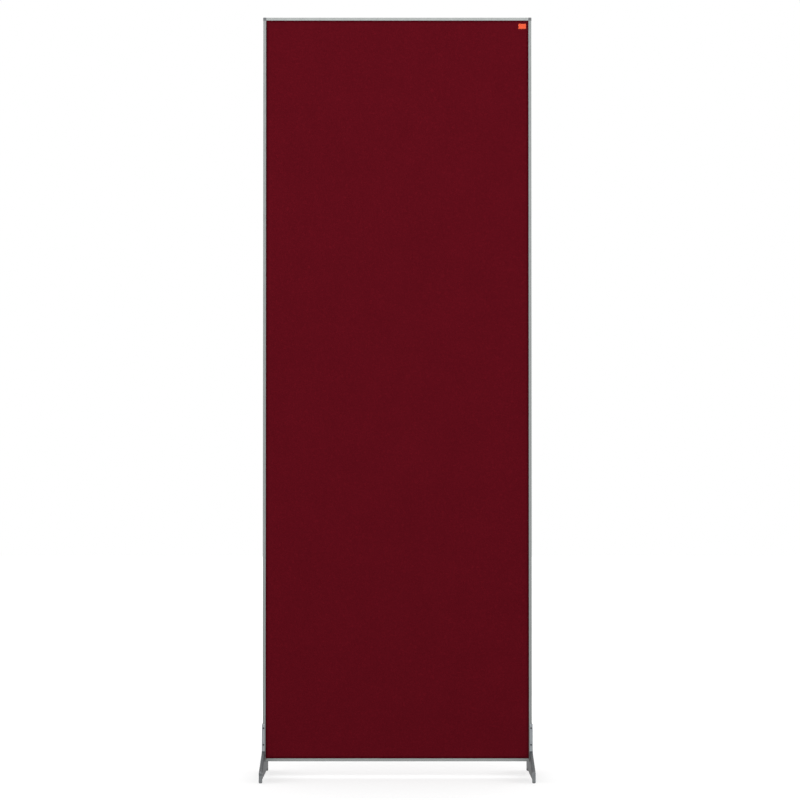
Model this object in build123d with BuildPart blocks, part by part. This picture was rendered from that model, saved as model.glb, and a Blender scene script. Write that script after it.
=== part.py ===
"""Free-standing office partition: a felt-covered board in a slim aluminium frame on two clamp-on feet.

All sizes are in millimetres. Z is up, X runs across the screen and the front faces -Y.
The origin is on the floor, midway between the four glides.
"""

import os

from build123d import *

# Aluminium frame, measured over its outer edges
frame_width = 650.0
frame_height = 1800.0
frame_depth = 20.0
floor_gap = 38.0

# Section of the frame's profile, from its outer edge inwards
outer_wall = 1.2
chamber_width = 1.8
web_thickness = 1.0
panel_bite = 3.0
lip_wall = 1.4
profile_edge_round = 0.6

# Plastic corner caps and the bent steel keys that run through them
cap_proud = 0.4
cap_corner_round = 1.5
cap_edge_bevel = 0.3
key_clearance = 0.1
key_inside_bend = 0.8
short_key_leg = 42.0
key_end_bevel = 1.0

# Soft fibreboard core and the felt on both of its faces
board_thickness = 12.0
board_side_clearance = 0.5
board_top_clearance = 1.0
felt_thickness = 3.0
felt_clearance = 0.1
felt_margin = 0.3

# Sewn tab near the top of the front felt
tab_width = 18.4
tab_height = 12.4
tab_thickness = 0.8
tab_corner_round = 1.0
tab_from_side = 22.0
tab_from_top = 21.0

# Feet: a tapering leg below a saddle that takes the frame's lower corner
foot_length = 400.0
leg_thickness = 8.0
leg_outset = 2.0
leg_underside = 8.0
leg_tip_height = 24.5
leg_root_height = 60.0
leg_edge_round = 1.0
saddle_height = 128.0
saddle_inset = 0.8
saddle_wall = 4.0
saddle_top_round = 3.0
saddle_edge_round = 1.0
saddle_clearance = 0.1
collar_height = 62.5
collar_proud = 0.5

# Glides plugged into the ends of the legs
glide_length = 11.0
glide_height = 18.6
glide_bottom_round = 2.4
glide_toe_round = 1.0
glide_seam_bevel = 0.5
peg_diameter = 4.0
peg_length = 8.0
peg_clearance = 0.1

# Set screws that hold the frame in its saddles
screw_diameter = 4.0
screw_clearance = 0.05
screw_end_bevel = 0.4
socket_across_flats = 2.0
socket_depth = 2.0
upper_screw_drop = 10.0
lower_screw_rise = 15.5

# How far every cut runs past the faces that it opens
overrun = 1.0

# Sizes that follow from those above
half_width = frame_width / 2
half_depth = frame_depth / 2
frame_bottom = floor_gap
frame_top = floor_gap + frame_height
middle_height = (frame_bottom + frame_top) / 2
face_width = outer_wall + chamber_width + web_thickness + panel_bite
channel_floor = face_width - panel_bite
channel_depth = frame_depth - 2 * lip_wall
chamber_middle = outer_wall + chamber_width / 2
key_thickness = chamber_width - 2 * key_clearance
key_depth = channel_depth - 2 * key_clearance
long_key_leg = saddle_height - frame_bottom

board_half_width = half_width - channel_floor - board_side_clearance
board_bottom = frame_bottom + channel_floor
board_top = frame_top - channel_floor - board_top_clearance
pinched_felt = (channel_depth - board_thickness) / 2 - felt_clearance

leg_outer = half_width + leg_outset
leg_inner = leg_outer - leg_thickness
saddle_inner = leg_inner + saddle_inset
saddle_floor = frame_bottom - cap_proud
pocket_outer = half_width + cap_proud + saddle_clearance
pocket_half_depth = half_depth + saddle_clearance
saddle_half_depth = pocket_half_depth + saddle_wall
foot_half_length = foot_length / 2
glide_start = foot_half_length - glide_length
peg_height = (leg_underside + glide_height) / 2
peg_radius = peg_diameter / 2
screw_radius = screw_diameter / 2
screw_length = saddle_wall + saddle_clearance
screw_places = [
    (half_width - chamber_middle, saddle_height - upper_screw_drop),
    (half_width - chamber_middle, collar_height + lower_screw_rise),
]


def keep(piece, name):
    """Label a finished piece and write it to its own file."""
    piece.part.label = name
    export_step(piece.part, f"parts/{name}.step")


def keep_both_sides(piece, name):
    """Write a right-hand piece as it stands, and its mirror image on the left."""
    keep(piece, f"right_{name}")
    with BuildPart() as left_piece:
        mirror(piece.part, about=Plane.YZ)
    keep(left_piece, f"left_{name}")


def right_corner_plane(level):
    """Upright plane at the top (1) or bottom (-1) right corner, with both axes pointing out of the frame."""
    height = frame_top if level > 0 else frame_bottom
    return Plane(origin=(half_width, 0, height), x_dir=(1, 0, 0), z_dir=(0, -level, 0))


def draw_frame_section():
    """Draw the profile's section, with its outer face through the sketch's origin."""
    with Locations((-face_width / 2, 0)):
        Rectangle(face_width, frame_depth)
    fillet(vertices(), radius=profile_edge_round)
    with Locations((-chamber_middle, 0)):
        Rectangle(chamber_width, channel_depth, mode=Mode.SUBTRACT)
    with Locations((-channel_floor, 0)):
        Rectangle(panel_bite + overrun, channel_depth, align=(Align.MAX, Align.CENTER), mode=Mode.SUBTRACT)


def corner_line(leg_across, leg_up):
    """Bent line along the middles of the two chambers that meet at a corner."""
    return FilletPolyline(
        (-leg_across, -chamber_middle),
        (-chamber_middle, -chamber_middle),
        (-chamber_middle, -leg_up),
        radius=key_inside_bend + key_thickness / 2,
    )


def make_profile(name, section_plane, length):
    """Stile or rail: the profile cut square to butt against the corner caps."""
    with BuildPart() as profile:
        with BuildSketch(section_plane):
            draw_frame_section()
        extrude(amount=length / 2, both=True)
    keep(profile, name)


def make_corner_cap(row, level):
    """Cap that fills the corner square, slotted for the key and open to the panel's corner."""
    corner_plane = right_corner_plane(level)
    slot_line = corner_line(face_width + overrun, face_width + overrun)
    with BuildPart() as cap:
        with BuildSketch(corner_plane):
            with Locations((cap_proud, cap_proud)):
                Rectangle(face_width + cap_proud, face_width + cap_proud, align=(Align.MAX, Align.MAX))
            fillet(vertices().sort_by(Axis((0, 0, 0), (1, 1, 0)))[-1], radius=cap_corner_round)
        extrude(amount=half_depth, both=True)
        chamfer(cap.faces().filter_by(Axis.Y).edges(), length=cap_edge_bevel)
        with BuildSketch(corner_plane):
            trace(slot_line.edges(), line_width=chamber_width)
        extrude(amount=channel_depth / 2, both=True, mode=Mode.SUBTRACT)
        with BuildSketch(corner_plane):
            with Locations((-channel_floor, -channel_floor)):
                Rectangle(panel_bite + overrun, panel_bite + overrun, align=(Align.MAX, Align.MAX))
        extrude(amount=channel_depth / 2, both=True, mode=Mode.SUBTRACT)
    keep_both_sides(cap, f"{row}_corner_cap")


def make_corner_key(row, level, leg_up):
    """Bent steel strip that joins a stile to a rail inside their chambers."""
    key_line = corner_line(short_key_leg, leg_up)
    with BuildPart() as key:
        with BuildSketch(right_corner_plane(level)):
            trace(key_line.edges(), line_width=key_thickness)
        extrude(amount=key_depth / 2, both=True)
        across_end = key.faces().sort_by(Axis.X)[0]
        up_end = key.faces().sort_by(Axis.Z)[0 if level > 0 else -1]
        chamfer(across_end.edges().filter_by(Axis.Z), length=key_end_bevel)
        chamfer(up_end.edges().filter_by(Axis.X), length=key_end_bevel)
    keep_both_sides(key, f"{row}_corner_key")


def make_core_board():
    """Soft fibreboard core, standing on the bottom rail's web."""
    with BuildPart() as board:
        with BuildSketch(Plane.XY.offset(board_bottom)):
            Rectangle(2 * board_half_width, board_thickness)
        extrude(amount=board_top - board_bottom)
    keep(board, "core_board")


def make_felt(name, facing):
    """Felt on one face of the board, pinched thinner where the lips hold its border."""
    outline_height = board_top - board_bottom
    field_width = frame_width - 2 * face_width - 2 * felt_margin
    field_height = frame_height - 2 * face_width - 2 * felt_margin
    with BuildPart() as felt:
        face_plane = Plane(
            origin=(0, facing * board_thickness / 2, 0), x_dir=(-facing, 0, 0), z_dir=(0, facing, 0)
        )
        with BuildSketch(face_plane):
            with Locations((0, (board_bottom + board_top) / 2)):
                Rectangle(2 * board_half_width, outline_height)
        extrude(amount=pinched_felt)
        with BuildSketch(face_plane):
            with Locations((0, middle_height)):
                Rectangle(field_width, field_height)
        extrude(amount=felt_thickness)
    keep(felt, name)


def make_label_tab():
    """Small plain tab sewn flat on the front felt."""
    with BuildPart() as tab:
        with BuildSketch(Plane.XZ.offset(board_thickness / 2 + felt_thickness)):
            with Locations((half_width - tab_from_side, frame_top - tab_from_top)):
                RectangleRounded(tab_width, tab_height, tab_corner_round)
        extrude(amount=tab_thickness)
    keep(tab, "label_tab")


def make_feet():
    """Foot: tapering leg, collar and saddle in one piece, bored for its screws and its glides' pegs."""
    with BuildPart() as saddle:
        with BuildSketch(Plane.YZ.offset(saddle_inner)):
            with Locations((0, leg_underside)):
                Rectangle(
                    2 * saddle_half_depth, saddle_height - leg_underside, align=(Align.CENTER, Align.MIN)
                )
            fillet(vertices().group_by(Axis.Y)[-1], radius=saddle_top_round)
        extrude(amount=leg_outer - saddle_inner)
        fillet(saddle.faces().sort_by(Axis.X)[-1].edges(), radius=saddle_edge_round)

    with BuildPart() as foot:
        with BuildSketch(Plane.YZ.offset(leg_inner)):
            with BuildLine():
                Polyline(
                    (-glide_start, leg_underside),
                    (glide_start, leg_underside),
                    (glide_start, glide_height),
                    (foot_half_length, glide_height),
                    (foot_half_length, leg_tip_height),
                    (saddle_half_depth, leg_root_height),
                    (-saddle_half_depth, leg_root_height),
                    (-foot_half_length, leg_tip_height),
                    (-foot_half_length, glide_height),
                    (-glide_start, glide_height),
                    close=True,
                )
            make_face()
        extrude(amount=leg_thickness)
        fillet(foot.edges().filter_by(lambda edge: edge.length > foot_half_length / 2), radius=leg_edge_round)
        add(saddle.part)
        with BuildSketch(Plane.YZ.offset(leg_inner)):
            with Locations((0, leg_underside)):
                Rectangle(
                    2 * (saddle_half_depth + collar_proud),
                    collar_height - leg_underside,
                    align=(Align.CENTER, Align.MIN),
                )
            chamfer(vertices().group_by(Axis.Y)[-1], length=collar_proud)
        extrude(amount=leg_thickness)
        with BuildSketch(Plane.XY.offset(saddle_floor)):
            with Locations((pocket_outer, 0)):
                Rectangle(
                    pocket_outer - leg_inner + overrun,
                    2 * pocket_half_depth,
                    align=(Align.MAX, Align.CENTER),
                )
        extrude(amount=saddle_height - saddle_floor + overrun, mode=Mode.SUBTRACT)
        with BuildSketch(Plane.XZ):
            with Locations(*screw_places):
                Circle(screw_radius + screw_clearance)
        extrude(amount=saddle_half_depth + overrun, both=True, mode=Mode.SUBTRACT)
        for end in (-1, 1):
            with BuildSketch(Plane.XZ.offset(end * glide_start)):
                with Locations((leg_outer - leg_thickness / 2, peg_height)):
                    Circle(peg_radius + peg_clearance)
            extrude(amount=-end * (peg_length + peg_clearance), mode=Mode.SUBTRACT)
    keep_both_sides(foot, "foot")


def make_glides():
    """Glides that touch the floor, each with a peg into the end of its leg."""
    with BuildPart() as front_glide:
        with BuildSketch(Plane.XZ.offset(glide_start)):
            with Locations((leg_outer - leg_thickness / 2, 0)):
                Rectangle(leg_thickness, glide_height, align=(Align.CENTER, Align.MIN))
            fillet(vertices().group_by(Axis.Y)[0], radius=glide_bottom_round)
        extrude(amount=glide_length)
        toe_face = front_glide.faces().sort_by(Axis.Y)[0]
        fillet(toe_face.edges().sort_by(Axis.Z)[0], radius=glide_toe_round)
        top_face = front_glide.faces().sort_by(Axis.Z)[-1]
        chamfer(top_face.edges().sort_by(Axis.Y)[:-1], length=glide_seam_bevel)
        with BuildSketch(Plane.XZ.offset(glide_start)):
            with Locations((leg_outer - leg_thickness / 2, peg_height)):
                Circle(peg_radius)
        extrude(amount=-peg_length)
    keep_both_sides(front_glide, "front_glide")
    with BuildPart() as rear_glide:
        mirror(front_glide.part, about=Plane.XZ)
    keep_both_sides(rear_glide, "rear_glide")


def make_clamp_screws():
    """Four socket set screws for one foot, flush with the saddle and bearing on the stile."""
    with BuildPart() as screws:
        with BuildSketch(Plane.XZ.offset(saddle_half_depth)):
            with Locations(*screw_places):
                Circle(screw_radius)
        extrude(amount=-screw_length)
        chamfer(screws.edges().filter_by(GeomType.CIRCLE), length=screw_end_bevel)
        with BuildSketch(Plane.XZ.offset(saddle_half_depth)):
            with Locations(*screw_places):
                RegularPolygon(socket_across_flats / 2, side_count=6, major_radius=False)
        extrude(amount=-socket_depth, mode=Mode.SUBTRACT)
        mirror(about=Plane.XZ)
    keep_both_sides(screws, "clamp_screws")


def main():
    os.makedirs("parts", exist_ok=True)
    stile_length = frame_height - 2 * face_width
    rail_length = frame_width - 2 * face_width
    for name, outwards in (("right_stile", 1), ("left_stile", -1)):
        edge_middle = (outwards * half_width, 0, middle_height)
        make_profile(name, Plane(edge_middle, x_dir=(outwards, 0, 0), z_dir=(0, 0, 1)), stile_length)
    for name, outwards, height in (("top_rail", 1, frame_top), ("bottom_rail", -1, frame_bottom)):
        make_profile(name, Plane((0, 0, height), x_dir=(0, 0, outwards), z_dir=(1, 0, 0)), rail_length)
    for row, level, leg_up in (("upper", 1, short_key_leg), ("lower", -1, long_key_leg)):
        make_corner_cap(row, level)
        make_corner_key(row, level, leg_up)
    make_core_board()
    make_felt("front_felt", -1)
    make_felt("rear_felt", 1)
    make_label_tab()
    make_feet()
    make_glides()
    make_clamp_screws()


main()
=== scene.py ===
"""Dresses the office partition: felt sheets, sewn tab, finishes, and a plain studio."""

import math

import bmesh
import bpy
from bpy.props import FloatProperty, FloatVectorProperty, PointerProperty
from mathutils import Matrix, Vector, noise


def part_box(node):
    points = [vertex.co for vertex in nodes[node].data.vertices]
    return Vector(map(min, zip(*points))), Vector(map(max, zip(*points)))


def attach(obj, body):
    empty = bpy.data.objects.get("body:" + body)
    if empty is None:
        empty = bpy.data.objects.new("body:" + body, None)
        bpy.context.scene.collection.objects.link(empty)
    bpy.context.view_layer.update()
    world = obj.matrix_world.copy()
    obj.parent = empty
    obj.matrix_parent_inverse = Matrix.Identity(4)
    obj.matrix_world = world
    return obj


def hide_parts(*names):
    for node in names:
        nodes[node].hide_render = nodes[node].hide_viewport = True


bl_info = {
    "name": "Office partition",
    "version": (1, 0, 0),
    "blender": (4, 5, 0),
    "location": "View3D > Sidebar > Partition",
    "description": "Builds the felt, tab, finishes and studio of a free-standing office partition",
    "category": "Object",
}

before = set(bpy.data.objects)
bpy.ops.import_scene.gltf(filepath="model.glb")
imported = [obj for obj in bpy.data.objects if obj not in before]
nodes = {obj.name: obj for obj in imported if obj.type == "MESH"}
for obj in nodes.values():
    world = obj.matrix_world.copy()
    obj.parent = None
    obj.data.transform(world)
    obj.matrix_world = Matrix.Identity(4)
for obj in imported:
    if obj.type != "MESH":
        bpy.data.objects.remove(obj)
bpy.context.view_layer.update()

MILLIMETRE = 0.001
# A Mix node's colour and number sockets share their names, so they go by their places.
FIRST_COLOUR, SECOND_COLOUR, MIXED_COLOUR = 6, 7, 2
FIRST_NUMBER, SECOND_NUMBER, MIXED_NUMBER = 2, 3, 0
# The places of X and Z in a vector.
ACROSS, UPRIGHT = 0, 2
STILES = ("left_stile", "right_stile")
RAILS = ("top_rail", "bottom_rail")
CORNERS = ("left_upper", "right_upper", "left_lower", "right_lower")
CORNER_CAPS = tuple(f"{corner}_corner_cap" for corner in CORNERS)
CORNER_KEYS = tuple(f"{corner}_corner_key" for corner in CORNERS)
FEET = ("left_foot", "right_foot")
GLIDES = ("left_front_glide", "right_front_glide", "left_rear_glide", "right_rear_glide")
CLAMP_SCREWS = ("left_clamp_screws", "right_clamp_screws")

# Most of a noise texture's values lie between these two.
NOISE_LOW, NOISE_HIGH = 0.3, 0.7
# Where the felt mesh's lines lie near its border, as shares of the width that a side lip pinches.
BORDER_SHARES = (0.0, 0.4, 0.7, 0.85, 1.0, 1.15, 1.3, 1.5, 1.75, 2.0, 2.4, 3.0, 3.8, 4.8)

# Half the floor's width, then the lamps' widths and heights, in metres.
FLOOR_REACH = 30.0
SOFTBOX_SIZE = (3.2, 1.8)
SCRIM_SIZE = (5.0, 2.4)


def linear(code):
    """Turn an sRGB hex colour into linear red, green and blue."""
    channels = [int(code[i:i + 2], 16) / 255 for i in (1, 3, 5)]
    return tuple(c / 12.92 if c <= 0.04045 else ((c + 0.055) / 1.055) ** 2.4 for c in channels)


def opaque(colour):
    """Colour with full alpha, as colour sockets take it."""
    return (*colour, 1.0)


def add_node(tree, kind, inputs=None, **settings):
    """Add a node, set its properties, then set or link its inputs."""
    made = tree.nodes.new(kind)
    for name, value in settings.items():
        setattr(made, name, value)
    for socket, value in (inputs or {}).items():
        if isinstance(value, bpy.types.NodeSocket):
            tree.links.new(value, made.inputs[socket])
        else:
            made.inputs[socket].default_value = value
    return made


def new_material(name):
    """Empty material, its node tree and the socket of its Object coordinates."""
    material = bpy.data.materials.new(name)
    material.use_nodes = True
    tree = material.node_tree
    tree.nodes.clear()
    coordinates = add_node(tree, "ShaderNodeTexCoord").outputs["Object"]
    return material, tree, coordinates


def finish_material(tree, inputs):
    """Close a material with its shader and output."""
    shader = add_node(tree, "ShaderNodeBsdfPrincipled", inputs)
    add_node(tree, "ShaderNodeOutputMaterial", {"Surface": shader.outputs["BSDF"]})


def per_metre(millimetres):
    """Texture scale whose features are that many millimetres across, on coordinates in metres."""
    return 1.0 / (millimetres * MILLIMETRE)


def band_scale(millimetres):
    """Wave texture scale whose bands repeat after that many millimetres.

    At scale 1 Blender's bands repeat after tau / 20 of a metre.
    """
    return math.tau / 20 * per_metre(millimetres)


def paint_nodes(names, material):
    """Give CAD nodes a material."""
    for name in names:
        mesh = nodes[name].data
        mesh.materials.clear()
        mesh.materials.append(material)


def new_object(name, data):
    """Object at the origin, in the scene's own collection."""
    made = bpy.data.objects.new(name, data)
    bpy.context.scene.collection.objects.link(made)
    return made


def new_piece(name, mesh, body="root"):
    """Object that rides on the partition's one body."""
    piece = new_object(name, mesh)
    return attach(piece, body)


class PartitionColours(bpy.types.PropertyGroup):
    """Colours of the partition's finishes."""

    felt: FloatVectorProperty(
        name="Felt", description="Middle tone of the burgundy felt",
        subtype="COLOR", size=3, min=0, max=1, default=linear("#6C121E"))
    felt_dark: FloatVectorProperty(
        name="Dark fibres", description="Deepest tone between the felt's fibres",
        subtype="COLOR", size=3, min=0, max=1, default=linear("#550B16"))
    felt_light: FloatVectorProperty(
        name="Light fibres", description="Tone of the fibres that lie on top",
        subtype="COLOR", size=3, min=0, max=1, default=linear("#821825"))
    # Painted shade that the frame's lips cast on the felt along its border.
    felt_lip_shade: FloatVectorProperty(
        name="Pressed felt", description="Tone where the frame's lips squeeze the felt",
        subtype="COLOR", size=3, min=0, max=1, default=linear("#3A040C"))
    aluminium: FloatVectorProperty(
        name="Aluminium", description="Natural anodised aluminium of the stiles",
        subtype="COLOR", size=3, min=0, max=1, default=linear("#878A89"))
    # The rails' tint is a lighter copy of the same aluminium: painted light for the top light that
    # level rails catch.
    aluminium_level_painted_light: FloatVectorProperty(
        name="Level aluminium", description="The same on the rails, which look a little lighter",
        subtype="COLOR", size=3, min=0, max=1, default=linear("#969998"))
    corner_plastic: FloatVectorProperty(
        name="Corner plastic", description="Dark grey moulded corner caps",
        subtype="COLOR", size=3, min=0, max=1, default=linear("#5B5D5F"))
    # The feet are drawn in a lighter tone above the collar's top and a darker one below it.
    saddle_tone: FloatVectorProperty(
        name="Saddle paint", description="Silver-grey powder coat of the feet's upper strips",
        subtype="COLOR", size=3, min=0, max=1, default=linear("#93979A"))
    leg_tone: FloatVectorProperty(
        name="Leg paint", description="Darker grey powder coat of the collars and legs",
        subtype="COLOR", size=3, min=0, max=1, default=linear("#46494B"))
    bare_steel: FloatVectorProperty(
        name="Bare steel", description="Tone where the coat is worn through",
        subtype="COLOR", size=3, min=0, max=1, default=linear("#8E9193"))
    glide_plastic: FloatVectorProperty(
        name="Glide plastic", description="Grey nylon of the glides",
        subtype="COLOR", size=3, min=0, max=1, default=linear("#6E7173"))
    tab_cloth: FloatVectorProperty(
        name="Tab cloth", description="Orange woven tape",
        subtype="COLOR", size=3, min=0, max=1, default=linear("#E04F26"))
    tab_thread: FloatVectorProperty(
        name="Tab thread", description="Thread of the tab's stitches",
        subtype="COLOR", size=3, min=0, max=1, default=linear("#FF9A66"))


class PartitionSizes(bpy.types.PropertyGroup):
    """Sizes of the soft pieces and finishes, which the frame does not give."""

    collar_top: FloatProperty(
        name="Collar top", description="Height where the legs' darker coat ends",
        unit="LENGTH", default=62.5 * MILLIMETRE)
    leg_reach: FloatProperty(
        name="Leg reach", description="From the panel's middle to the tips of the legs",
        unit="LENGTH", default=200.0 * MILLIMETRE)
    felt_roll: FloatProperty(
        name="Felt roll", description="How far in from the lips the felt gets its full thickness",
        unit="LENGTH", default=4.0 * MILLIMETRE)
    # How far the painted shade of the lips reaches into the felt.
    felt_shade: FloatProperty(
        name="Felt shade", description="How far in from the lips the pressed felt looks darker",
        unit="LENGTH", default=8.0 * MILLIMETRE)
    felt_pinch: FloatProperty(
        name="Felt pinch", description="How much thinner the felt is under the lips",
        unit="LENGTH", default=0.5 * MILLIMETRE)
    felt_wave: FloatProperty(
        name="Felt wave", description="Height of the felt's slow unevenness",
        unit="LENGTH", default=0.12 * MILLIMETRE)
    felt_cell: FloatProperty(
        name="Felt grid", description="Spacing of the felt mesh away from the border",
        unit="LENGTH", default=8.0 * MILLIMETRE)
    stitch_inset: FloatProperty(
        name="Stitch inset", description="Distance of the stitch line from the tab's edge",
        unit="LENGTH", default=1.3 * MILLIMETRE)
    stitch_pitch: FloatProperty(
        name="Stitch pitch", description="Spacing of the stitches",
        unit="LENGTH", default=2.0 * MILLIMETRE)
    stitch_length: FloatProperty(
        name="Stitch length", description="Length of the thread that shows in one stitch",
        unit="LENGTH", default=1.5 * MILLIMETRE)
    thread_width: FloatProperty(
        name="Thread width", description="Thickness of the sewing thread",
        unit="LENGTH", default=0.4 * MILLIMETRE)


class PartitionStage(bpy.types.PropertyGroup):
    """Camera, lamps and room light of the studio."""

    lens: FloatProperty(
        name="Lens", description="Focal length on a 36 mm sensor",
        subtype="DISTANCE_CAMERA", unit="CAMERA", default=163.32)
    camera_distance: FloatProperty(
        name="Camera distance", description="From the middle of the panel",
        unit="LENGTH", default=8.7882)
    camera_height: FloatProperty(
        name="Camera height", description="Height of the lens above the floor",
        unit="LENGTH", default=0.6871)
    camera_side: FloatProperty(
        name="Camera side", description="Lens to the right of the panel's middle",
        unit="LENGTH", default=0.0066)
    camera_pitch: FloatProperty(
        name="Camera pitch", description="Upward tilt of the lens",
        subtype="ANGLE", unit="ROTATION", default=math.radians(1.4566))
    softbox_power: FloatProperty(
        name="Softbox power", description="Of each of the two softboxes, in front and behind",
        unit="POWER", default=72.5)
    scrim_power: FloatProperty(
        name="Scrim power", description="Of each of the two wide scrims that the metal mirrors",
        unit="POWER", default=40.0)
    fill_power: FloatProperty(
        name="Fill power", description="Of each of the two softboxes at the sides",
        unit="POWER", default=35.0)
    horizon_light: FloatProperty(
        name="Horizon light", description="Strength of the room light level with the eye", min=0,
        default=0.36)
    wall_light: FloatProperty(
        name="Wall light", description="Strength of the room light from high on the walls", min=0,
        default=1.4)
    ceiling_light: FloatProperty(
        name="Ceiling light", description="Strength of the room light from overhead", min=0,
        default=0.15)


def make_felt_material(colours):
    """Needled felt: pressed fibres without a weave, so it looks deep, matt and slightly hairy.

    Along the frame the lips press it together, and a painted shade of the lips darkens it there.
    Real fibres are about 0.03 mm thick. They are drawn 0.5 mm wide and in clumps of 5 mm, so
    that they show.
    """
    strand_size = Vector((0.5, 0.5, 4.0)) * MILLIMETRE
    strand_turns = (0.3, 1.4, 2.4)
    # How strongly the painted shade of the lips darkens the felt at its border.
    lip_shade_share = 0.7
    material, tree, place = new_material("needled_felt_burgundy")
    clouds = add_node(tree, "ShaderNodeTexNoise", {
        "Vector": place, "Scale": per_metre(90), "Detail": 2.0, "Roughness": 0.5})
    clumps = add_node(tree, "ShaderNodeTexNoise", {
        "Vector": place, "Scale": per_metre(5), "Detail": 5.0,
        "Roughness": 0.65, "Distortion": 1.2})
    fibres = 0.0
    for turn in strand_turns:
        turned = add_node(tree, "ShaderNodeMapping", {
            "Vector": place, "Rotation": (0.0, turn, 0.0), "Scale": strand_size},
            vector_type="TEXTURE")
        strands = add_node(tree, "ShaderNodeTexNoise", {
            "Vector": turned.outputs["Vector"], "Scale": 1.0, "Detail": 3.0, "Distortion": 0.8})
        fibres = add_node(tree, "ShaderNodeMath", {
            0: fibres, 1: strands.outputs["Fac"]}, operation="MAXIMUM").outputs["Value"]
    depth = add_node(tree, "ShaderNodeMapRange", {
        "Value": fibres, "From Min": 0.48, "From Max": 0.74})
    top = add_node(tree, "ShaderNodeMapRange", {
        "Value": clumps.outputs["Fac"], "From Min": 0.5, "From Max": 0.8, "To Max": 0.45})
    pressed = add_node(tree, "ShaderNodeMix", {
        "Factor": depth.outputs["Result"], FIRST_COLOUR: opaque(colours.felt_dark),
        SECOND_COLOUR: opaque(colours.felt)}, data_type="RGBA").outputs[MIXED_COLOUR]
    hairy = add_node(tree, "ShaderNodeMix", {
        "Factor": top.outputs["Result"], FIRST_COLOUR: pressed,
        SECOND_COLOUR: opaque(colours.felt_light)}, data_type="RGBA").outputs[MIXED_COLOUR]
    shade = add_node(tree, "ShaderNodeMapRange", {
        "Value": clouds.outputs["Fac"],
        "From Min": NOISE_LOW, "From Max": NOISE_HIGH, "To Min": 0.97, "To Max": 1.03})
    colour = add_node(tree, "ShaderNodeHueSaturation", {
        "Color": hairy, "Value": shade.outputs["Result"]})
    height = add_node(tree, "ShaderNodeMath", {
        0: fibres, 1: clumps.outputs["Fac"]}, operation="ADD")
    # The pressed attribute says how much painted shade of the lips each spot of felt gets.
    lip_shade_mask = add_node(tree, "ShaderNodeAttribute", attribute_name="pressed")
    lip_shade_amount = add_node(tree, "ShaderNodeMath", {
        0: lip_shade_mask.outputs["Fac"], 1: lip_shade_share}, operation="MULTIPLY")
    lip_shaded = add_node(tree, "ShaderNodeMix", {
        "Factor": lip_shade_amount.outputs["Value"], FIRST_COLOUR: colour.outputs["Color"],
        SECOND_COLOUR: opaque(colours.felt_lip_shade)}, data_type="RGBA").outputs[MIXED_COLOUR]
    relief = add_node(tree, "ShaderNodeBump", {
        "Height": height.outputs["Value"], "Strength": 0.35, "Distance": 0.4 * MILLIMETRE})
    finish_material(tree, {
        "Base Color": lip_shaded, "Normal": relief.outputs["Normal"],
        "Roughness": 0.95, "Diffuse Roughness": 1.0, "Specular IOR Level": 0.02,
        "Sheen Weight": 0.08, "Sheen Roughness": 0.6, "Sheen Tint": opaque(colours.felt_light)})
    return material


def make_aluminium_material(name, tint, along):
    """Satin anodised extrusion: soft grey reflections, drawn out along it by fine die lines.

    Die lines are about 0.05 mm apart, and the etched grain between them is finer still. They are
    drawn 0.6 mm and 0.25 mm apart so that they show. The axis that the profile runs along is
    given by its place in a vector.
    """
    line_gap, line_length = 0.6, 900
    grain_share = 0.3
    material, tree, place = new_material(name)
    spacing = [per_metre(line_gap)] * 3
    spacing[along] = per_metre(line_length)
    drawn = add_node(tree, "ShaderNodeMapping", {"Vector": place, "Scale": spacing})
    lines = add_node(tree, "ShaderNodeTexNoise", {
        "Vector": drawn.outputs["Vector"], "Scale": 1.0, "Detail": 4.0, "Roughness": 0.6})
    bloom = add_node(tree, "ShaderNodeTexNoise", {
        "Vector": place, "Scale": per_metre(14), "Detail": 4.0, "Roughness": 0.6})
    grain = add_node(tree, "ShaderNodeTexNoise", {
        "Vector": place, "Scale": per_metre(0.25), "Detail": 2.0})
    roughness = add_node(tree, "ShaderNodeMapRange", {
        "Value": bloom.outputs["Fac"],
        "From Min": NOISE_LOW, "From Max": NOISE_HIGH, "To Min": 0.42, "To Max": 0.52})
    tone = add_node(tree, "ShaderNodeMapRange", {
        "Value": lines.outputs["Fac"],
        "From Min": NOISE_LOW, "From Max": NOISE_HIGH, "To Min": 0.94, "To Max": 1.04})
    colour = add_node(tree, "ShaderNodeHueSaturation", {
        "Color": opaque(tint), "Value": tone.outputs["Result"]})
    height = add_node(tree, "ShaderNodeMath", {
        0: lines.outputs["Fac"], 1: grain.outputs["Fac"], 2: grain_share},
        operation="MULTIPLY_ADD")
    relief = add_node(tree, "ShaderNodeBump", {
        "Height": height.outputs["Value"], "Strength": 0.12, "Distance": 0.05 * MILLIMETRE})
    finish_material(tree, {
        "Base Color": colour.outputs["Color"], "Metallic": 1.0,
        "Roughness": roughness.outputs["Result"], "Normal": relief.outputs["Normal"]})
    return material


def make_corner_plastic_material(colours):
    """Moulded ABS with an eroded mould's fine grain: dark, dull, without clear reflections.

    The grain is about 0.1 mm across. It is drawn 0.35 mm across so that it shows.
    """
    material, tree, place = new_material("moulded_abs_dark_grey")
    grain = add_node(tree, "ShaderNodeTexVoronoi", {"Vector": place, "Scale": per_metre(0.35)})
    haze = add_node(tree, "ShaderNodeTexNoise", {
        "Vector": place, "Scale": per_metre(3), "Detail": 3.0})
    tone = add_node(tree, "ShaderNodeMapRange", {
        "Value": haze.outputs["Fac"],
        "From Min": NOISE_LOW, "From Max": NOISE_HIGH, "To Min": 0.94, "To Max": 1.06})
    colour = add_node(tree, "ShaderNodeHueSaturation", {
        "Color": opaque(colours.corner_plastic), "Value": tone.outputs["Result"]})
    relief = add_node(tree, "ShaderNodeBump", {
        "Height": grain.outputs["Distance"], "Strength": 0.25, "Distance": 0.04 * MILLIMETRE})
    finish_material(tree, {
        "Base Color": colour.outputs["Color"], "Roughness": 0.5, "IOR": 1.53,
        "Normal": relief.outputs["Normal"]})
    return material


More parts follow.
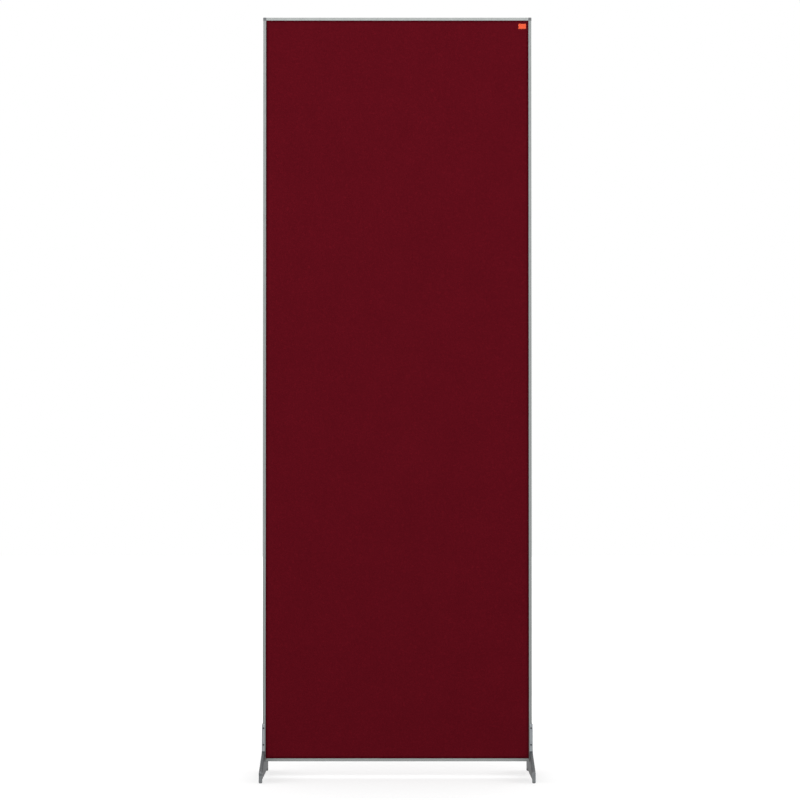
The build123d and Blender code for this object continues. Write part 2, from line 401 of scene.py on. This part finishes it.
def make_powder_coat_material(colours, sizes):
    """Powder coat on steel: slight orange peel and metal flakes, worn bright at the legs' tips.

    Its flakes are under 0.1 mm across. They are drawn 0.4 mm across so that they show. The
    photograph shows the strip above the collar lighter than the leg, so the tone steps there.
    """
    worn_from_share = 0.7
    material, tree, place = new_material("powder_coated_steel_grey")
    axes = add_node(tree, "ShaderNodeSeparateXYZ", {"Vector": place})
    above_collar = add_node(tree, "ShaderNodeMath", {
        0: axes.outputs["Z"], 1: sizes.collar_top}, operation="GREATER_THAN")
    paint = add_node(tree, "ShaderNodeMix", {
        "Factor": above_collar.outputs["Value"], FIRST_COLOUR: opaque(colours.leg_tone),
        SECOND_COLOUR: opaque(colours.saddle_tone)}, data_type="RGBA").outputs[MIXED_COLOUR]
    flakes = add_node(tree, "ShaderNodeTexVoronoi", {"Vector": place, "Scale": per_metre(0.4)})
    flake_tone = add_node(tree, "ShaderNodeSeparateColor", {"Color": flakes.outputs["Color"]})
    spread = add_node(tree, "ShaderNodeMapRange", {
        "Value": flake_tone.outputs["Red"], "To Min": 0.9, "To Max": 1.1})
    base = add_node(tree, "ShaderNodeHueSaturation", {
        "Color": paint, "Value": spread.outputs["Result"]})
    reach = add_node(tree, "ShaderNodeMath", {0: axes.outputs["Y"]}, operation="ABSOLUTE")
    near_tip = add_node(tree, "ShaderNodeMapRange", {
        "Value": reach.outputs["Value"],
        "From Min": worn_from_share * sizes.leg_reach, "From Max": sizes.leg_reach,
        "To Min": -0.3, "To Max": 0.15})
    scuffs = add_node(tree, "ShaderNodeTexNoise", {
        "Vector": place, "Scale": per_metre(6), "Detail": 6.0, "Roughness": 0.7})
    bared = add_node(tree, "ShaderNodeMath", {
        0: scuffs.outputs["Fac"], 1: near_tip.outputs["Result"]}, operation="ADD")
    wear = add_node(tree, "ShaderNodeMapRange", {
        "Value": bared.outputs["Value"], "From Min": 0.52, "From Max": 0.68, "To Max": 0.7})
    colour = add_node(tree, "ShaderNodeMix", {
        "Factor": wear.outputs["Result"], FIRST_COLOUR: base.outputs["Color"],
        SECOND_COLOUR: opaque(colours.bare_steel)}, data_type="RGBA").outputs[MIXED_COLOUR]
    peel = add_node(tree, "ShaderNodeTexNoise", {
        "Vector": place, "Scale": per_metre(1.4), "Detail": 2.0, "Roughness": 0.45})
    relief = add_node(tree, "ShaderNodeBump", {
        "Height": peel.outputs["Fac"], "Strength": 0.25, "Distance": 0.1 * MILLIMETRE})
    finish_material(tree, {
        "Base Color": colour, "Metallic": wear.outputs["Result"], "Roughness": 0.55,
        "Specular IOR Level": 0.3, "Normal": relief.outputs["Normal"]})
    return material


def make_nylon_material(colours):
    """Moulded nylon glide: grey, half matt, and a little dusty where it meets the floor."""
    dust_height = 5 * MILLIMETRE
    dust_tone = opaque(linear("#5A5956"))
    material, tree, place = new_material("moulded_nylon_grey")
    haze = add_node(tree, "ShaderNodeTexNoise", {
        "Vector": place, "Scale": per_metre(2), "Detail": 4.0})
    axes = add_node(tree, "ShaderNodeSeparateXYZ", {"Vector": place})
    low = add_node(tree, "ShaderNodeMapRange", {
        "Value": axes.outputs["Z"], "From Min": dust_height, "From Max": 0.0})
    dust = add_node(tree, "ShaderNodeMath", {
        0: low.outputs["Result"], 1: haze.outputs["Fac"]}, operation="MULTIPLY")
    colour = add_node(tree, "ShaderNodeMix", {
        "Factor": dust.outputs["Value"], FIRST_COLOUR: opaque(colours.glide_plastic),
        SECOND_COLOUR: dust_tone}, data_type="RGBA").outputs[MIXED_COLOUR]
    relief = add_node(tree, "ShaderNodeBump", {
        "Height": haze.outputs["Fac"], "Strength": 0.2, "Distance": 0.05 * MILLIMETRE})
    finish_material(tree, {
        "Base Color": colour, "Roughness": 0.48, "IOR": 1.53,
        "Normal": relief.outputs["Normal"]})
    return material


def make_black_oxide_material():
    """Blackened steel set screw: near black, with an oily half gloss."""
    black_tone, rubbed_tone = opaque(linear("#1E1F21")), opaque(linear("#3A3B3D"))
    material, tree, place = new_material("black_oxide_steel")
    patina = add_node(tree, "ShaderNodeTexNoise", {
        "Vector": place, "Scale": per_metre(0.8), "Detail": 4.0})
    colour = add_node(tree, "ShaderNodeMix", {
        "Factor": patina.outputs["Fac"], FIRST_COLOUR: black_tone,
        SECOND_COLOUR: rubbed_tone}, data_type="RGBA").outputs[MIXED_COLOUR]
    finish_material(tree, {"Base Color": colour, "Metallic": 1.0, "Roughness": 0.38})
    return material


def make_zinc_material():
    """Zinc-coated steel strip: bright grey with faint crystal patches a few millimetres across."""
    dull_tone, bright_tone = opaque(linear("#B4B7BA")), opaque(linear("#CDD0D2"))
    material, tree, place = new_material("zinc_plated_steel")
    crystals = add_node(tree, "ShaderNodeTexVoronoi", {"Vector": place, "Scale": per_metre(4)})
    patch = add_node(tree, "ShaderNodeSeparateColor", {"Color": crystals.outputs["Color"]})
    colour = add_node(tree, "ShaderNodeMix", {
        "Factor": patch.outputs["Red"], FIRST_COLOUR: dull_tone,
        SECOND_COLOUR: bright_tone}, data_type="RGBA").outputs[MIXED_COLOUR]
    finish_material(tree, {"Base Color": colour, "Metallic": 1.0, "Roughness": 0.35})
    return material


def make_fibreboard_material():
    """Soft fibreboard: pale brown matted wood fibre, rough and matt."""
    dark_tone, pale_tone = opaque(linear("#8C7350")), opaque(linear("#C9B38C"))
    material, tree, place = new_material("soft_fibreboard")
    matting = add_node(tree, "ShaderNodeTexNoise", {
        "Vector": place, "Scale": per_metre(4), "Detail": 8.0,
        "Roughness": 0.7, "Distortion": 1.0})
    colour = add_node(tree, "ShaderNodeMix", {
        "Factor": matting.outputs["Fac"], FIRST_COLOUR: dark_tone,
        SECOND_COLOUR: pale_tone}, data_type="RGBA").outputs[MIXED_COLOUR]
    relief = add_node(tree, "ShaderNodeBump", {
        "Height": matting.outputs["Fac"], "Strength": 0.5, "Distance": 0.4 * MILLIMETRE})
    finish_material(tree, {
        "Base Color": colour, "Roughness": 0.95, "Normal": relief.outputs["Normal"]})
    return material


def make_tab_cloth_material(colours):
    """Woven polyester tape: bright, with a slight satin shine across its ribs.

    Its threads are about 0.15 mm apart. They are drawn 0.5 mm apart so that they show.
    """
    material, tree, place = new_material("woven_tape_orange")
    ribs = add_node(tree, "ShaderNodeTexWave", {
        "Vector": place, "Scale": band_scale(0.5), "Distortion": 0.6, "Detail": 1.0},
        bands_direction="X")
    picks = add_node(tree, "ShaderNodeTexWave", {
        "Vector": place, "Scale": band_scale(0.5), "Distortion": 0.6, "Detail": 1.0},
        bands_direction="Z")
    weave = add_node(tree, "ShaderNodeMath", {
        0: ribs.outputs["Fac"], 1: picks.outputs["Fac"]}, operation="MULTIPLY")
    tone = add_node(tree, "ShaderNodeMapRange", {
        "Value": weave.outputs["Value"], "To Min": 0.9, "To Max": 1.05})
    colour = add_node(tree, "ShaderNodeHueSaturation", {
        "Color": opaque(colours.tab_cloth), "Value": tone.outputs["Result"]})
    relief = add_node(tree, "ShaderNodeBump", {
        "Height": weave.outputs["Value"], "Strength": 0.4, "Distance": 0.1 * MILLIMETRE})
    finish_material(tree, {
        "Base Color": colour.outputs["Color"], "Roughness": 0.7,
        "Normal": relief.outputs["Normal"], "Sheen Weight": 0.1, "Sheen Roughness": 0.4})
    return material


def make_thread_material(colours):
    """Twisted polyester sewing thread: a little paler and shinier than the tape."""
    material, tree, place = new_material("polyester_sewing_thread")
    twist = add_node(tree, "ShaderNodeTexNoise", {
        "Vector": place, "Scale": per_metre(0.3), "Detail": 2.0})
    tone = add_node(tree, "ShaderNodeMapRange", {
        "Value": twist.outputs["Fac"], "To Min": 0.85, "To Max": 1.1})
    colour = add_node(tree, "ShaderNodeHueSaturation", {
        "Color": opaque(colours.tab_thread), "Value": tone.outputs["Result"]})
    finish_material(tree, {"Base Color": colour.outputs["Color"], "Roughness": 0.55})
    return material


def background_rays(tree):
    """1 for a ray from the lens, off gloss or through glass, which sees white, or else 0."""
    path = add_node(tree, "ShaderNodeLightPath").outputs
    direct = add_node(tree, "ShaderNodeMath", {
        0: path["Is Camera Ray"], 1: path["Is Glossy Ray"]}, operation="MAXIMUM")
    return add_node(tree, "ShaderNodeMath", {
        0: direct.outputs["Value"], 1: path["Is Transmission Ray"]},
        operation="MAXIMUM").outputs["Value"]


def make_floor_material():
    """Seamless paper: white to the lens but for the object's shadow, mid grey to bounced light.

    The lamps fade away from the object, so the paper glows more there to stay white.
    """
    lit_reach, unlit_reach = 0.6, 3.5
    bounced_tone, seen_tone = opaque(linear("#7C7C7C")), opaque(linear("#AAAAAA"))
    material, tree, place = new_material("seamless_paper_white")
    away = add_node(tree, "ShaderNodeVectorMath", {0: place}, operation="LENGTH")
    glow_strength = add_node(tree, "ShaderNodeMapRange", {
        "Value": away.outputs["Value"], "From Min": lit_reach, "From Max": unlit_reach,
        "To Min": 0.6, "To Max": 1.0})
    bounced = add_node(tree, "ShaderNodeBsdfDiffuse", {"Color": bounced_tone})
    shadowed = add_node(tree, "ShaderNodeBsdfDiffuse", {"Color": seen_tone})
    glow = add_node(tree, "ShaderNodeEmission", {
        "Color": opaque(linear("#FFFFFF")), "Strength": glow_strength.outputs["Result"]})
    seen = add_node(tree, "ShaderNodeAddShader", {
        0: shadowed.outputs["BSDF"], 1: glow.outputs["Emission"]})
    surface = add_node(tree, "ShaderNodeMixShader", {
        "Fac": background_rays(tree), 1: bounced.outputs["BSDF"], 2: seen.outputs["Shader"]})
    add_node(tree, "ShaderNodeOutputMaterial", {"Surface": surface.outputs["Shader"]})
    return material


def felt_lines(low, high, pinched_width, cell):
    """Grid lines across a felt sheet: close together at both borders, even between them."""
    near = [low + pinched_width * share for share in BORDER_SHARES]
    far = [high - pinched_width * share for share in reversed(BORDER_SHARES)]
    count = max(1, round((far[0] - near[-1]) / cell))
    step = (far[0] - near[-1]) / count
    return near + [near[-1] + step * i for i in range(1, count)] + far


def smooth_step(value):
    """Rise smoothly from 0 to 1."""
    value = min(1.0, max(0.0, value))
    return value * value * (3.0 - 2.0 * value)


def rim_of(grid):
    """Vertices round the border of a grid, in order."""
    right = [line[-1] for line in grid[1:]]
    left = [line[0] for line in grid[-2:0:-1]]
    return grid[0] + right + grid[-1][-2::-1] + left


def fill_grid(mesh, grid):
    """Add a face between each four neighbours of a grid."""
    for lower, upper in zip(grid, grid[1:]):
        for i in range(len(lower) - 1):
            mesh.faces.new((lower[i], lower[i + 1], upper[i + 1], upper[i]))


def smooth_mesh(name, mesh):
    """Turn a closed bmesh into a smooth mesh whose faces look outwards."""
    bmesh.ops.recalc_face_normals(mesh, faces=mesh.faces)
    made = bpy.data.meshes.new(name)
    mesh.to_mesh(made)
    mesh.free()
    made.shade_smooth()
    return made


def make_felt_mesh(node, sizes):
    """Closed sheet: flat on the board, pinched at its border, rolled up to its full thickness."""
    wave_length, ripple_length = 160.0 * MILLIMETRE, 45.0 * MILLIMETRE
    ripple_share = 0.5
    low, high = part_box(node)
    # The front felt looks along -Y and the rear felt along +Y.
    facing = -1 if low.y < 0 else 1
    board_side = high.y if facing < 0 else low.y
    face_side = low.y if facing < 0 else high.y
    full = abs(face_side - board_side)
    pinch_across = high.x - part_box("right_stile")[0].x
    pinch_top = high.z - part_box("top_rail")[0].z
    pinch_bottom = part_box("bottom_rail")[1].z - low.z
    pinched = full - sizes.felt_pinch
    columns = felt_lines(low.x, high.x, pinch_across, sizes.felt_cell)
    rows = felt_lines(low.z, high.z, pinch_across, sizes.felt_cell)
    mesh = bmesh.new()
    # The pressed layer holds the painted shade of the lips: full under them, fading out over
    # felt_shade.
    pressed = mesh.verts.layers.float.new("pressed")
    grid = []
    for z in rows:
        line = []
        for x in columns:
            inside = min(x - low.x - pinch_across, high.x - x - pinch_across,
                         z - low.z - pinch_bottom, high.z - z - pinch_top)
            rise = smooth_step(inside / sizes.felt_roll)
            spot = Vector((x, facing, z))
            slow = noise.noise(spot / wave_length)
            slow += ripple_share * noise.noise(spot / ripple_length)
            hollow = sizes.felt_wave * rise * (1 - slow) / 2
            thickness = pinched + (full - pinched) * rise - hollow
            corner = mesh.verts.new((x, board_side + facing * thickness, z))
            corner[pressed] = 1.0 - smooth_step(inside / sizes.felt_shade)
            line.append(corner)
        grid.append(line)
    fill_grid(mesh, grid)
    rim = rim_of(grid)
    back = [mesh.verts.new((v.co.x, board_side, v.co.z)) for v in rim]
    for i, corner in enumerate(rim):
        following = (i + 1) % len(rim)
        mesh.faces.new((corner, back[i], back[following], rim[following]))
    mesh.faces.new(back)
    return smooth_mesh(f"{node}_sheet", mesh)


def make_tab_mesh(low, high):
    """Thin tape with rounded corners and a soft edge, thicker where its two ends fold under."""
    columns, rows = 36, 24
    corner = 1.0 * MILLIMETRE
    fold = 2.6 * MILLIMETRE
    fold_step = 0.5 * MILLIMETRE
    soft_edge = 0.4 * MILLIMETRE
    single_share = 0.72
    rim_share = 0.35
    thick = high.y - low.y
    mesh = bmesh.new()
    centre = (low + high) / 2
    half_x, half_z = (high.x - low.x) / 2, (high.z - low.z) / 2
    layers = []
    for front in (True, False):
        grid = []
        for j in range(rows + 1):
            line = []
            for i in range(columns + 1):
                # Sines crowd the grid's lines at the tab's edges.
                x = half_x * math.sin(math.pi / 2 * (2 * i / columns - 1))
                z = half_z * math.sin(math.pi / 2 * (2 * j / rows - 1))
                over_x, over_z = abs(x) - (half_x - corner), abs(z) - (half_z - corner)
                if over_x > 0 and over_z > 0:
                    reach = max(over_x, over_z) / math.hypot(over_x, over_z)
                    x = math.copysign(half_x - corner + over_x * reach, x)
                    z = math.copysign(half_z - corner + over_z * reach, z)
                edge = min(half_x - abs(x), half_z - abs(z))
                soft = math.sqrt(1 - (1 - min(1.0, edge / soft_edge)) ** 2)
                folded = smooth_step((abs(x) - half_x + fold) / fold_step + 0.5)
                lifted = single_share + (1 - single_share) * folded
                height = thick * (rim_share + (1 - rim_share) * soft * lifted)
                y = high.y - height if front else high.y
                line.append(mesh.verts.new((centre.x + x, y, centre.z + z)))
            grid.append(line)
        layers.append(grid)
    for grid in layers:
        fill_grid(mesh, grid)
    front_rim, back_rim = (rim_of(grid) for grid in layers)
    for i in range(len(front_rim)):
        following = (i + 1) % len(front_rim)
        mesh.faces.new((front_rim[i], front_rim[following], back_rim[following], back_rim[i]))
    return smooth_mesh("sewn_tab", mesh)


def make_stitch_tree():
    """Geometry Nodes: short thread stitches set along a rounded rectangle."""
    tree = bpy.data.node_groups.new("Border stitches", "GeometryNodeTree")
    for name in ("Width", "Height", "Corner radius", "Pitch", "Stitch length", "Thread width"):
        tree.interface.new_socket(name, in_out="INPUT", socket_type="NodeSocketFloat")
    tree.interface.new_socket("Material", in_out="INPUT", socket_type="NodeSocketMaterial")
    tree.interface.new_socket("Geometry", in_out="OUTPUT", socket_type="NodeSocketGeometry")
    given = add_node(tree, "NodeGroupInput").outputs
    outline = add_node(tree, "GeometryNodeCurvePrimitiveQuadrilateral", {
        "Width": given["Width"], "Height": given["Height"]})
    rounded = add_node(tree, "GeometryNodeFilletCurve", {
        "Curve": outline.outputs["Curve"], "Radius": given["Corner radius"], "Count": 6},
        mode="POLY")
    seam = add_node(tree, "GeometryNodeCurveToPoints", {
        "Curve": rounded.outputs["Curve"], "Length": given["Pitch"]}, mode="LENGTH")
    half_length = add_node(tree, "ShaderNodeMath", {
        0: given["Stitch length"], 1: 0.5}, operation="MULTIPLY")
    half_width = add_node(tree, "ShaderNodeMath", {
        0: given["Thread width"], 1: 0.5}, operation="MULTIPLY")
    bead = add_node(tree, "GeometryNodeMeshUVSphere", {"Segments": 8, "Rings": 6, "Radius": 1.0})
    smooth = add_node(tree, "GeometryNodeSetShadeSmooth", {"Geometry": bead.outputs["Mesh"]})
    stretch = add_node(tree, "ShaderNodeCombineXYZ", {
        "X": half_width.outputs["Value"], "Y": half_width.outputs["Value"],
        "Z": half_length.outputs["Value"]})
    stitches = add_node(tree, "GeometryNodeInstanceOnPoints", {
        "Points": seam.outputs["Points"], "Instance": smooth.outputs["Geometry"],
        "Rotation": seam.outputs["Rotation"], "Scale": stretch.outputs["Vector"]})
    solid = add_node(tree, "GeometryNodeRealizeInstances", {
        "Geometry": stitches.outputs["Instances"]})
    dyed = add_node(tree, "GeometryNodeSetMaterial", {
        "Geometry": solid.outputs["Geometry"], "Material": given["Material"]})
    add_node(tree, "NodeGroupOutput", {"Geometry": dyed.outputs["Geometry"]})
    return tree


def mesh_from_tree(name, tree, values, place):
    """Run a Geometry Nodes tree once and return its result as a plain mesh moved to its place."""
    carrier = new_object(name, bpy.data.meshes.new(name))
    modifier = carrier.modifiers.new("Nodes", "NODES")
    modifier.node_group = tree
    sockets = {
        item.name: item.identifier for item in tree.interface.items_tree if item.in_out == "INPUT"}
    for key, value in values.items():
        modifier[sockets[key]] = value
    evaluated = carrier.evaluated_get(bpy.context.evaluated_depsgraph_get())
    made = bpy.data.meshes.new_from_object(evaluated)
    carrier.modifiers.remove(modifier)
    bpy.data.objects.remove(carrier)
    made.transform(place)
    return made


class PARTITION_OT_felt(bpy.types.Operator):
    """Make the two felt sheets that cover the board."""

    bl_idname = "partition.felt"
    bl_label = "Felt sheets"

    def execute(self, context):
        material = make_felt_material(context.scene.partition_colours)
        for node in ("front_felt", "rear_felt"):
            mesh = make_felt_mesh(node, context.scene.partition_sizes)
            mesh.materials.append(material)
            piece = new_piece(f"{node}_sheet", mesh)
            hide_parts(node)
        return {"FINISHED"}


class PARTITION_OT_tab(bpy.types.Operator):
    """Make the plain sewn tab and its border of stitches."""

    bl_idname = "partition.tab"
    bl_label = "Sewn tab"

    def execute(self, context):
        colours, sizes = context.scene.partition_colours, context.scene.partition_sizes
        seam_depth_share = 0.2
        low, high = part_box("label_tab")
        mesh = make_tab_mesh(low, high)
        mesh.materials.append(make_tab_cloth_material(colours))
        tab = new_piece("sewn_tab", mesh)
        width, height = high.x - low.x, high.z - low.z
        seam = (low + high) / 2
        seam.y = low.y + (high.y - low.y) * seam_depth_share
        upright = Matrix.Translation(seam) @ Matrix.Rotation(math.pi / 2, 4, "X")
        stitches = new_piece("tab_stitches", mesh_from_tree("tab_stitches", make_stitch_tree(), {
            "Width": width - 2 * sizes.stitch_inset,
            "Height": height - 2 * sizes.stitch_inset,
            "Corner radius": sizes.stitch_inset,
            "Pitch": sizes.stitch_pitch,
            "Stitch length": sizes.stitch_length,
            "Thread width": sizes.thread_width,
            "Material": make_thread_material(colours),
        }, upright))
        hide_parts("label_tab")
        return {"FINISHED"}


class PARTITION_OT_frame(bpy.types.Operator):
    """Finish the aluminium profiles, their corner caps and keys, and the board inside."""

    bl_idname = "partition.frame"
    bl_label = "Frame finishes"

    def execute(self, context):
        colours = context.scene.partition_colours
        paint_nodes(STILES, make_aluminium_material(
            "anodised_aluminium_upright", colours.aluminium, UPRIGHT))
        # The rails take the lighter tint, painted light for the top light that their level die
        # lines catch.
        paint_nodes(RAILS, make_aluminium_material(
            "anodised_aluminium_level", colours.aluminium_level_painted_light, ACROSS))
        paint_nodes(CORNER_CAPS, make_corner_plastic_material(colours))
        paint_nodes(CORNER_KEYS, make_zinc_material())
        paint_nodes(("core_board",), make_fibreboard_material())
        return {"FINISHED"}


class PARTITION_OT_feet(bpy.types.Operator):
    """Finish the feet, their glides and their clamp screws."""

    bl_idname = "partition.feet"
    bl_label = "Feet finishes"

    def execute(self, context):
        colours, sizes = context.scene.partition_colours, context.scene.partition_sizes
        paint_nodes(FEET, make_powder_coat_material(colours, sizes))
        paint_nodes(GLIDES, make_nylon_material(colours))
        paint_nodes(CLAMP_SCREWS, make_black_oxide_material())
        return {"FINISHED"}


def make_floor():
    """Wide level floor under the object."""
    corners = [
        (-FLOOR_REACH, -FLOOR_REACH, 0), (FLOOR_REACH, -FLOOR_REACH, 0),
        (FLOOR_REACH, FLOOR_REACH, 0), (-FLOOR_REACH, FLOOR_REACH, 0)]
    mesh = bpy.data.meshes.new("floor")
    mesh.from_pydata(corners, [], [(0, 1, 2, 3)])
    mesh.materials.append(make_floor_material())
    floor = new_object("floor", mesh)


def make_lamp(name, place, size, power, mirrored):
    """Large rectangular lamp, facing the panel's upright axis level and unseen by the lens."""
    data = bpy.data.lights.new(name, "AREA")
    data.shape = "RECTANGLE"
    data.size, data.size_y = size
    data.energy = power
    lamp = new_object(name, data)
    lamp.location = place
    lamp.rotation_euler = Vector((-place[0], -place[1], 0.0)).to_track_quat("-Z", "Y").to_euler()
    lamp.visible_camera = False
    lamp.visible_glossy = mirrored


def make_world(horizon, wall, ceiling):
    """Plain room light, brightest high on the walls, and white to the lens.

    A direction's Z is 0 level with the eye and 1 straight up. The walls' bright band lies between
    band_low and band_high, and the ceiling starts at ceiling_low.
    """
    band_low, band_high, ceiling_low = 0.3, 0.35, 0.8
    world = bpy.data.worlds.new("studio")
    bpy.context.scene.world = world
    world.use_nodes = True
    tree = world.node_tree
    tree.nodes.clear()
    direction = add_node(tree, "ShaderNodeTexCoord").outputs["Generated"]
    up = add_node(tree, "ShaderNodeSeparateXYZ", {"Vector": direction})
    rise = add_node(tree, "ShaderNodeMapRange", {
        "Value": up.outputs["Z"], "From Min": 0.0, "From Max": band_low,
        "To Min": horizon, "To Max": wall})
    level = add_node(tree, "ShaderNodeMapRange", {
        "Value": up.outputs["Z"], "From Min": band_high, "From Max": ceiling_low,
        "To Min": rise.outputs["Result"], "To Max": ceiling})
    seen = add_node(tree, "ShaderNodeMix", {
        "Factor": background_rays(tree), FIRST_NUMBER: level.outputs["Result"],
        SECOND_NUMBER: 1.0}, data_type="FLOAT")
    sky = add_node(tree, "ShaderNodeBackground", {
        "Color": opaque(linear("#FFFFFF")), "Strength": seen.outputs[MIXED_NUMBER]})
    add_node(tree, "ShaderNodeOutputWorld", {"Surface": sky.outputs["Background"]})


def make_camera(stage):
    """Camera at the photograph's place, looking slightly up."""
    data = bpy.data.cameras.new("camera")
    data.sensor_width = 36.0
    data.lens = stage.lens
    data.clip_end = 100.0
    camera = new_object("camera", data)
    camera.location = (stage.camera_side, -stage.camera_distance, stage.camera_height)
    camera.rotation_euler = (math.pi / 2 + stage.camera_pitch, 0.0, 0.0)
    bpy.context.scene.camera = camera


class PARTITION_OT_stage(bpy.types.Operator):
    """Make the floor, the lamps, the room light and the camera."""

    bl_idname = "partition.stage"
    bl_label = "Studio"

    def execute(self, context):
        stage = context.scene.partition_stage
        context.scene.view_settings.view_transform = "Standard"
        make_floor()
        make_world(stage.horizon_light, stage.wall_light, stage.ceiling_light)
        # Each lamp's name, place, size and power, and whether the metal mirrors it.
        lamps = (
            ("front_softbox", (0.0, -3.5, 2.1), SOFTBOX_SIZE, stage.softbox_power, False),
            ("rear_softbox", (0.0, 3.5, 2.1), SOFTBOX_SIZE, stage.softbox_power, False),
            ("left_softbox", (-3.5, 0.0, 1.6), SOFTBOX_SIZE, stage.fill_power, False),
            ("right_softbox", (3.5, 0.0, 1.6), SOFTBOX_SIZE, stage.fill_power, False),
            ("front_scrim", (0.0, -3.4, 2.6), SCRIM_SIZE, stage.scrim_power, True),
            ("rear_scrim", (0.0, 3.4, 2.6), SCRIM_SIZE, stage.scrim_power, True),
        )
        for lamp in lamps:
            make_lamp(*lamp)
        make_camera(stage)
        return {"FINISHED"}


class PARTITION_PT_panel(bpy.types.Panel):
    """Lists the operators that build the partition and its studio, and their settings."""

    bl_idname = "PARTITION_PT_panel"
    bl_label = "Office partition"
    bl_space_type = "VIEW_3D"
    bl_region_type = "UI"
    bl_category = "Partition"

    def draw(self, context):
        layout = self.layout
        for operator in OPERATORS:
            layout.operator(operator.bl_idname)
        for settings in (context.scene.partition_colours, context.scene.partition_sizes,
                         context.scene.partition_stage):
            for name in settings.bl_rna.properties.keys():
                if name not in ("rna_type", "name"):
                    layout.prop(settings, name)


SETTINGS = {
    "partition_colours": PartitionColours,
    "partition_sizes": PartitionSizes,
    "partition_stage": PartitionStage,
}
OPERATORS = (
    PARTITION_OT_stage, PARTITION_OT_frame, PARTITION_OT_feet, PARTITION_OT_felt, PARTITION_OT_tab)
CLASSES = (*SETTINGS.values(), *OPERATORS, PARTITION_PT_panel)


def register():
    """Register the classes and hang their settings on the scene."""
    for made in CLASSES:
        bpy.utils.register_class(made)
    for name, group in SETTINGS.items():
        setattr(bpy.types.Scene, name, PointerProperty(type=group))


def unregister():
    """Take the settings and the classes away again."""
    for name in SETTINGS:
        delattr(bpy.types.Scene, name)
    for made in reversed(CLASSES):
        bpy.utils.unregister_class(made)


def main():
    """Build everything in order."""
    register()
    bpy.ops.partition.stage()
    bpy.ops.partition.frame()
    bpy.ops.partition.feet()
    bpy.ops.partition.felt()
    bpy.ops.partition.tab()


if __name__ == "__main__":
    main()
